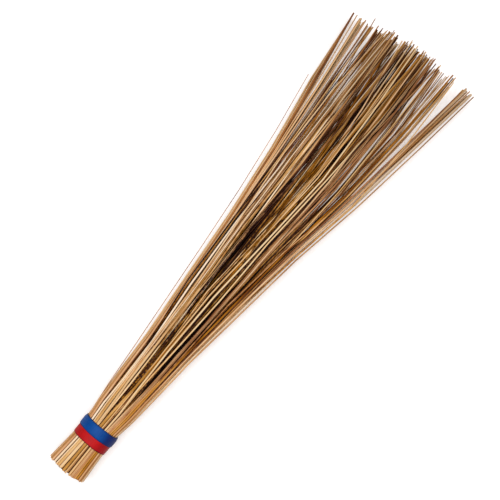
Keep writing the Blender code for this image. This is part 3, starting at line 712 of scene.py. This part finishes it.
def makeTape(name, low, high, radiusAt, material, freeEnd, seed):
    # A sleeve of wound tape: it dips between the ekels, and its edges waver
    rng = random.Random(seed)
    phases = [rng.uniform(0, 2 * math.pi) for _ in range(4)]
    sides, rows, inside = tapeSizes["sides"], tapeSizes["rows"], tapeSizes["scallopInside"]
    mesh = bmesh.new()
    edgeLayer = mesh.verts.layers.float.new("tapeEdge")
    skins = {}
    for skin in ("outer", "inner"):
        for side in range(sides):
            turned = side / sides
            angle = math.radians(freeEnd) + 2 * math.pi * turned
            drift = waver(angle, tapeSizes["dipDrift"], phases[:2])
            ekelAngle = tapeSizes["ekelsAround"] * angle / 2 + drift
            dip = abs(math.sin(ekelAngle)) ** tapeSizes["dipPower"]
            wave = waver(angle, tapeSizes["edgeWaves"], phases[2:])
            wave += tapeSizes["edgeEkels"] * math.sin(ekelAngle)
            for row in range(rows + 1):
                share = row / rows
                fromMiddle = share * 2 - 1
                edge = 1 - smoothStep(min(share, 1 - share) / tapeSizes["edgeShare"])
                x = low.x + (high.x - low.x) * share
                drawn = tapeSizes["edgeWave"] * (tapeSizes["edgeWaveShare"] * wave - 1)
                x += drawn * fromMiddle * abs(fromMiddle)
                reach = radiusAt(share)
                reach -= tapeSizes["scallop"] * (1 - dip) * (inside + (1 - inside) * edge)
                if skin == "inner":
                    reach -= tapeSizes["wall"]
                else:
                    reach -= tapeSizes["edgeRound"] * (edge ** 3 + 1 - turned)
                y, z = axisY + reach * math.cos(angle), axisZ + reach * math.sin(angle)
                vertex = mesh.verts.new((x, y, z))
                vertex[edgeLayer] = edge
                skins[skin, side, row] = vertex
    for side in range(sides):
        after = (side + 1) % sides
        for row in range(rows):
            mesh.faces.new([skins["outer", s, r] for s, r in
                            ((side, row), (after, row), (after, row + 1), (side, row + 1))])
            mesh.faces.new([skins["inner", s, r] for s, r in
                            ((side, row), (side, row + 1), (after, row + 1), (after, row))])
        for row in (0, rows):
            loop = [skins["outer", side, row], skins["inner", side, row],
                    skins["inner", after, row], skins["outer", after, row]]
            mesh.faces.new(loop if row == 0 else loop[::-1])
    bmesh.ops.recalc_face_normals(mesh, faces=mesh.faces)
    data = bpy.data.meshes.new(name)
    mesh.to_mesh(data)
    mesh.free()
    data.materials.append(material)
    data.shade_smooth()
    data.set_sharp_from_angle(angle=math.radians(tapeSizes["sharpAngle"]))
    return newPiece(name, data)


tapeLooks = {
    # Plasticised vinyl insulating tape, calendered and stretched on: even colour, soft sheen
    "red_vinyl": {"color": "#CE1618", "deep": "#A00D12", "rightPaintedShade": "#A20C14", "edgeGrimeAndShade": "#4A060C",
                  "roughness": 0.47},
    "blue_vinyl": {"color": "#0052A2", "deep": "#00367C", "rightPaintedShade": "#0A2260", "edgeGrimeAndShade": "#04163E",
                   "roughness": 0.44},
}
vinyl = {
    "cloudSize": 0.012,  # patches of slightly deeper colour
    "crepeSpacing": 0.0012,  # fine wrinkles from stretching
    "crepeDepth": 0.00004,
    "crepeBump": 0.5,
    "roughSpread": 0.18,  # by the wrinkles, from the roughness above upwards
    "ior": 1.53,
    "specular": 0.12,
    "edgeGrimeAndShade": 2.6,  # how dark its edges get, by dirt and painted shade
    "rightPaintedShadeTo": -0.020,  # painted shade: darker from the broom's right side up to here
    "rightPaintedShadeBlur": 0.012,
}


def makeVinylMaterial(name, look):
    material, tree, skin = newMaterial(name)
    place = addNode(tree, "ShaderNodeTexCoord").outputs["Object"]
    cloud = addNode(tree, "ShaderNodeTexNoise", {"Vector": place, "Scale": 1 / vinyl["cloudSize"],
                                                 "Detail": 3.0})
    mixed = addNode(tree, "ShaderNodeMix", {0: cloud, 6: linearColor(look["deep"]),
                                            7: linearColor(look["color"])}, data_type="RGBA")
    # Painted shade: the tape is darker towards the broom's right side
    across = addNode(tree, "ShaderNodeSeparateXYZ", [place]).outputs[1]
    rightPaintedShadeTo = axisY + vinyl["rightPaintedShadeTo"]
    rightPaintedShade = addNode(tree, "ShaderNodeMapRange",
                      {0: across, 1: rightPaintedShadeTo, 2: rightPaintedShadeTo + vinyl["rightPaintedShadeBlur"], 3: 1.0, 4: 0.0},
                      interpolation_type="SMOOTHSTEP")
    mixed = addNode(tree, "ShaderNodeMix", {0: rightPaintedShade, 6: mixed, 7: linearColor(look["rightPaintedShade"])},
                    data_type="RGBA")

    # Darker edges: dirt on the glue that creeps out there, and painted shade along them
    edge = addNode(tree, "ShaderNodeAttribute", attribute_name="tapeEdge").outputs["Fac"]
    edgeGrimeAndShadeMask = addNode(tree, "ShaderNodeMath", [edge, cloud], "MULTIPLY")
    edgeGrimeAndShadeMask = addNode(tree, "ShaderNodeMath", [edgeGrimeAndShadeMask, vinyl["edgeGrimeAndShade"]], "MULTIPLY", use_clamp=True)
    edged = addNode(tree, "ShaderNodeMix", {0: edgeGrimeAndShadeMask, 6: mixed, 7: linearColor(look["edgeGrimeAndShade"])},
                    data_type="RGBA")

    crepe = addNode(tree, "ShaderNodeTexNoise", {"Vector": place, "Scale": 1 / vinyl["crepeSpacing"],
                                                 "Detail": 2.0})
    rough = addNode(tree, "ShaderNodeMath", [crepe, vinyl["roughSpread"], look["roughness"]], "MULTIPLY_ADD")
    bump = addNode(tree, "ShaderNodeBump", {"Strength": vinyl["crepeBump"], "Distance": vinyl["crepeDepth"],
                                            "Height": crepe})
    feedNode(tree, skin, {"Base Color": edged, "Roughness": rough, "Normal": bump, "IOR": vinyl["ior"],
                          "Specular IOR Level": vinyl["specular"]})
    return material


def redRadiusAt(share):
    # The same all over its width, since it lies on the ekels alone
    return redRadius


def blueRadiusAt(share):
    # Down on the red tape at the rear, over the tie in the middle, down on the ekels at the front
    rear = 1 - smoothStep(share / tapeSizes["blueRear"])
    front = smoothStep((share - (1 - tapeSizes["blueFront"])) / tapeSizes["blueFront"])
    return blueRadius - tapeSizes["blueRearDrop"] * rear - tapeSizes["blueFrontDrop"] * front


redTape = makeTape("tape_red", redLow, redHigh, redRadiusAt,
                   makeVinylMaterial("vinylTape_red", tapeLooks["red_vinyl"]),
                   tapeSizes["redFreeEnd"], tapeSizes["redSeed"])
blueTape = makeTape("tape_blue", blueLow, blueHigh, blueRadiusAt,
                    makeVinylMaterial("vinylTape_blue", tapeLooks["blue_vinyl"]),
                    tapeSizes["blueFreeEnd"], tapeSizes["blueSeed"])
for tape, node, slot in ((redTape, "red_tape", "red_vinyl"), (blueTape, "blue_tape", "blue_vinyl")):
    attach(tape, "root")
    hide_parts(node)
print("Tapes: red and blue")


tieWire = {
    "color": "#4A4744",
    "rust": "#5A3A26",
    "rustSize": 0.004,
    "roughness": 0.32,  # of the scale, and the rust is rougher by up to roughSpread
    "roughSpread": 0.3,
}


def makeWireMaterial():
    # Soft iron wire, annealed: a dark scale with a little rust
    material, tree, skin = newMaterial("annealedIronWire")
    place = addNode(tree, "ShaderNodeTexCoord").outputs["Object"]
    rust = addNode(tree, "ShaderNodeTexNoise", {"Vector": place, "Scale": 1 / tieWire["rustSize"],
                                                "Detail": 4.0})
    mixed = addNode(tree, "ShaderNodeMix", {0: rust, 6: linearColor(tieWire["color"]),
                                            7: linearColor(tieWire["rust"])}, data_type="RGBA")
    rough = addNode(tree, "ShaderNodeMath", [rust, tieWire["roughSpread"], tieWire["roughness"]],
                    "MULTIPLY_ADD")
    feedNode(tree, skin, {"Base Color": mixed, "Roughness": rough, "Metallic": 1.0})
    return material


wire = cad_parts["tie_wire"]
wire.data.materials.clear()
wire.data.materials.append(makeWireMaterial())
print("Tie wire: finished")


studio = {
    "floorSize": 8.0,
    "floorGap": 0.0002,
    "floorColor": "#E2E6EC",  # as the camera sees it, with a faint glow that makes it the photo's white
    "floorGlow": "#FFEEE0",
    "glowStrength": 0.42,
    "bounceColor": "#C4BCB4",  # as it lights the broom from below
    "skyColor": "#FFFFFF",
    "worldStrength": 0.10,
    "keyFrom": (0.04, 0.06, 1.0),  # from almost straight above, a little from the fan's left side
    "keySpread": 56,  # degrees across, as wide as a big softbox close by
    "keyStrength": 3.0,
    "cameraHeight": 2.2,
    "cameraPlace": (0.0163, 0.0018),
    "cameraTurn": -50.1,
    "lens": 107.6,
}


def seenByCamera(tree):
    # 1 for what the camera sees, also in a reflection or through glass, and 0 for light on the broom
    paths = addNode(tree, "ShaderNodeLightPath").outputs
    seen = addNode(tree, "ShaderNodeMath", [paths["Is Camera Ray"], paths["Is Glossy Ray"]], "MAXIMUM")
    return addNode(tree, "ShaderNodeMath", [seen, paths["Is Transmission Ray"]], "MAXIMUM")


def makeFloor():
    half = studio["floorSize"] / 2
    corners = [(x * half, y * half, -studio["floorGap"]) for x, y in ((-1, -1), (1, -1), (1, 1), (-1, 1))]
    data = bpy.data.meshes.new("floor")
    data.from_pydata(corners, [], [(0, 1, 2, 3)])
    floor = newPiece("floor", data)
    material, tree, skin = newMaterial("whitePaper")
    tree.nodes.remove(skin)
    matte = addNode(tree, "ShaderNodeBsdfDiffuse", {"Color": linearColor(studio["floorColor"])})
    glow = addNode(tree, "ShaderNodeEmission", {"Color": linearColor(studio["floorGlow"]),
                                                "Strength": studio["glowStrength"]})
    lifted = addNode(tree, "ShaderNodeAddShader", [matte, glow])
    plain = addNode(tree, "ShaderNodeBsdfDiffuse", {"Color": linearColor(studio["bounceColor"])})
    mixed = addNode(tree, "ShaderNodeMixShader", [seenByCamera(tree), plain, lifted])
    feedNode(tree, tree.nodes["Material Output"], {"Surface": mixed})
    data.materials.append(material)


def makeWorld():
    world = bpy.data.worlds.new("studioWhite")
    world.use_nodes = True
    bpy.context.scene.world = world
    tree = world.node_tree
    sky = tree.nodes["Background"]
    feedNode(tree, sky, {"Color": linearColor(studio["skyColor"]), "Strength": studio["worldStrength"]})
    white = addNode(tree, "ShaderNodeBackground", {"Color": linearColor(studio["skyColor"])})
    mixed = addNode(tree, "ShaderNodeMixShader", [seenByCamera(tree), sky, white])
    feedNode(tree, tree.nodes["World Output"], {"Surface": mixed})


def makeKeyLight():
    # As far as a sun, so that the floor is equally white everywhere, and as soft as a softbox
    light = bpy.data.lights.new("softKey", "SUN")
    light.angle = math.radians(studio["keySpread"])
    light.energy = studio["keyStrength"]
    key = bpy.data.objects.new("softKey", light)
    key.rotation_euler = (-Vector(studio["keyFrom"])).to_track_quat("-Z", "Y").to_euler()
    bpy.context.scene.collection.objects.link(key)


def makeCamera():
    # Straight above, turned so that the broom runs from the lower left to the upper right
    camera = bpy.data.objects.new("camera", bpy.data.cameras.new("camera"))
    camera.data.lens = studio["lens"]
    camera.location = (*studio["cameraPlace"], studio["cameraHeight"])
    camera.rotation_euler = (0, 0, math.radians(studio["cameraTurn"]))
    bpy.context.scene.collection.objects.link(camera)
    bpy.context.scene.camera = camera


makeFloor()
makeWorld()
makeKeyLight()
makeCamera()
bpy.context.scene.view_settings.view_transform = "Standard"
print("Studio: floor, world, key light and camera")
